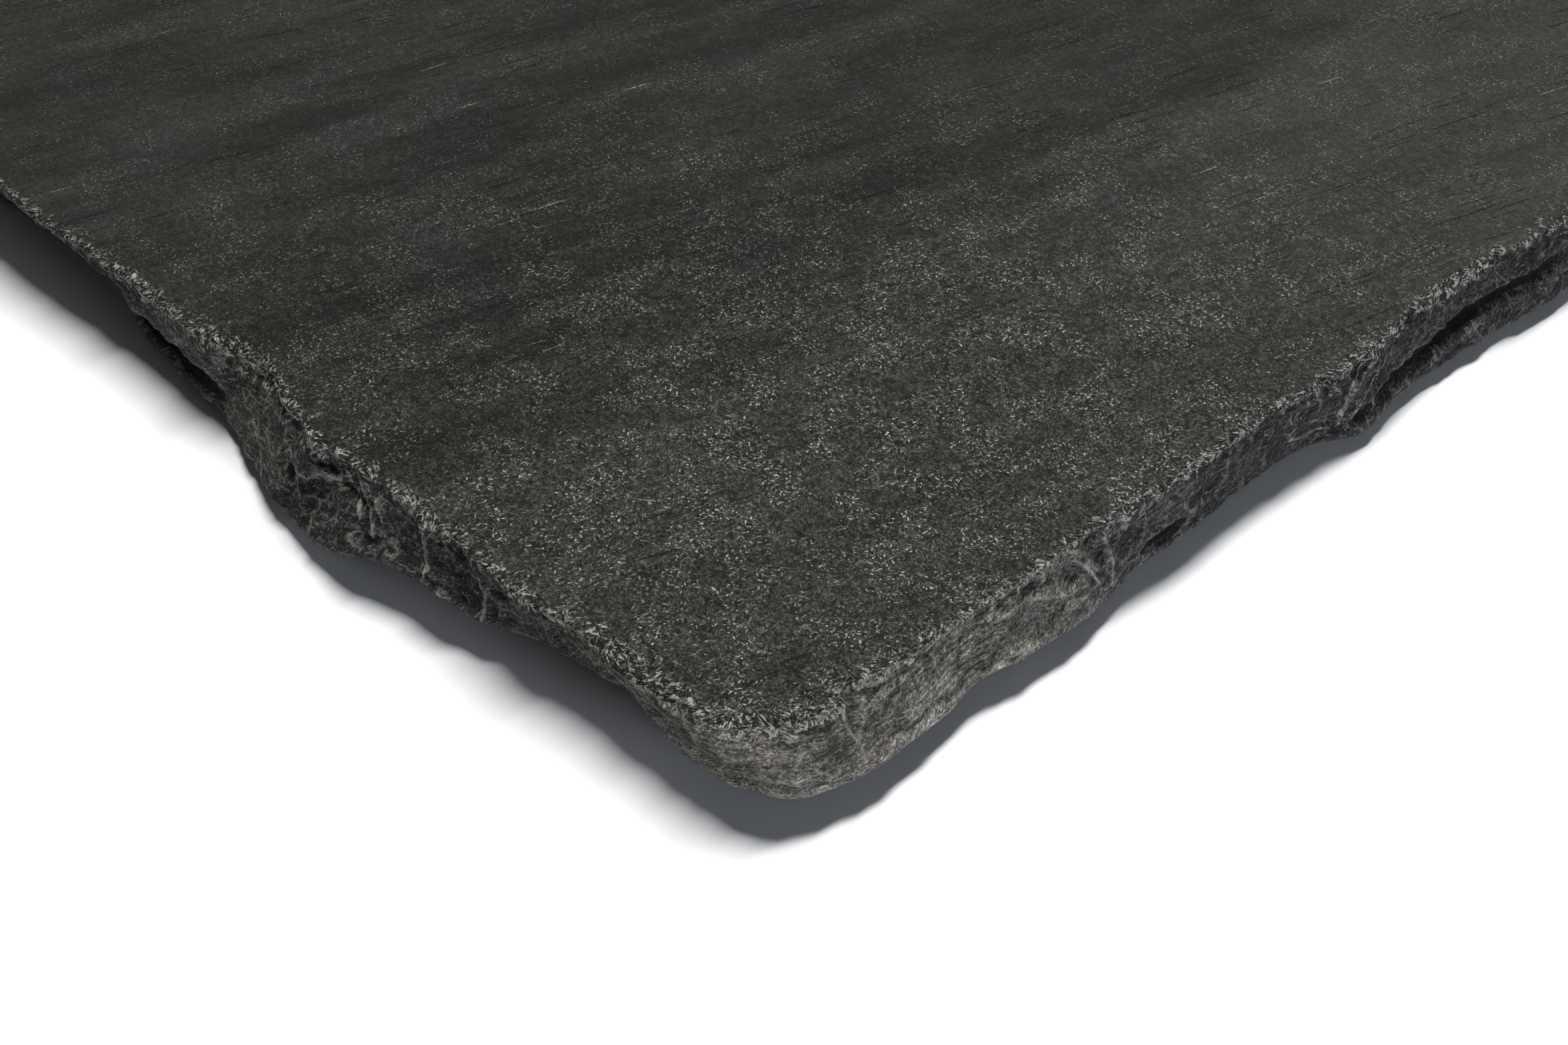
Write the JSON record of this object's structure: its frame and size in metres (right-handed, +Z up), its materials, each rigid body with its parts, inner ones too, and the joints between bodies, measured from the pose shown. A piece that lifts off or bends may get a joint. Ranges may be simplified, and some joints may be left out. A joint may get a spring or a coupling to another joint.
{
  "type": "limestone slab",
  "caption": "Square dark limestone paving slab with a naturally cleft face, hand-dressed scalloped edges and a flat underside to bed or rest on.",
  "frame": {"origin": "middle of the flat underside, on the plane that the slab rests on", "axes": "+Z up, through the thickness; X and Y along the sides, with the front corner at +X -Y"},
  "size_m": [0.6173, 0.6243, 0.0227],
  "materials": {
    "black_limestone": "matt natural cleft limestone, near black, with fine pale specks; the dressed edges are a little greyer"
  },
  "bodies": {
    "root": {"slab": "black_limestone"}
  },
  "joints": []
}
